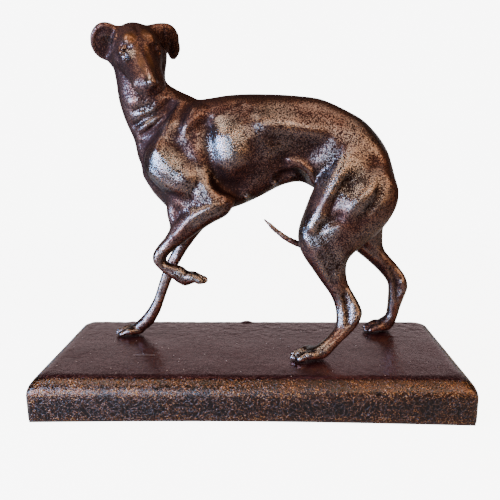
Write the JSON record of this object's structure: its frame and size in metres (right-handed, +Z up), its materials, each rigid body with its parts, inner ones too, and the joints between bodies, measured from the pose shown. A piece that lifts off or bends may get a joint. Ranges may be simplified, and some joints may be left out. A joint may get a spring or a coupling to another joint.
{
  "type": "greyhound statue",
  "caption": "Standing greyhound with one fore paw raised and its head turned aside, cast in iron on an oblong plinth with rounded edges.",
  "frame": {"origin": "centre of the plinth's underside", "axes": "+Z up, X along the plinth with the dog's chest towards -X, the dog's raised fore paw and turned face on the -Y side"},
  "size_m": [0.265, 0.11, 0.2332],
  "materials": {
    "figure": "bronzed cast iron with a dark purple-brown lacquer, copper showing where the high points are rubbed, fine sand-cast grain",
    "plinth": "same lacquer, darker and glossier on the flat top, gold-brown grain on the rounded edge and sides"
  },
  "bodies": {
    "root": {"greyhound": "figure", "plinth": "plinth"}
  },
  "joints": []
}
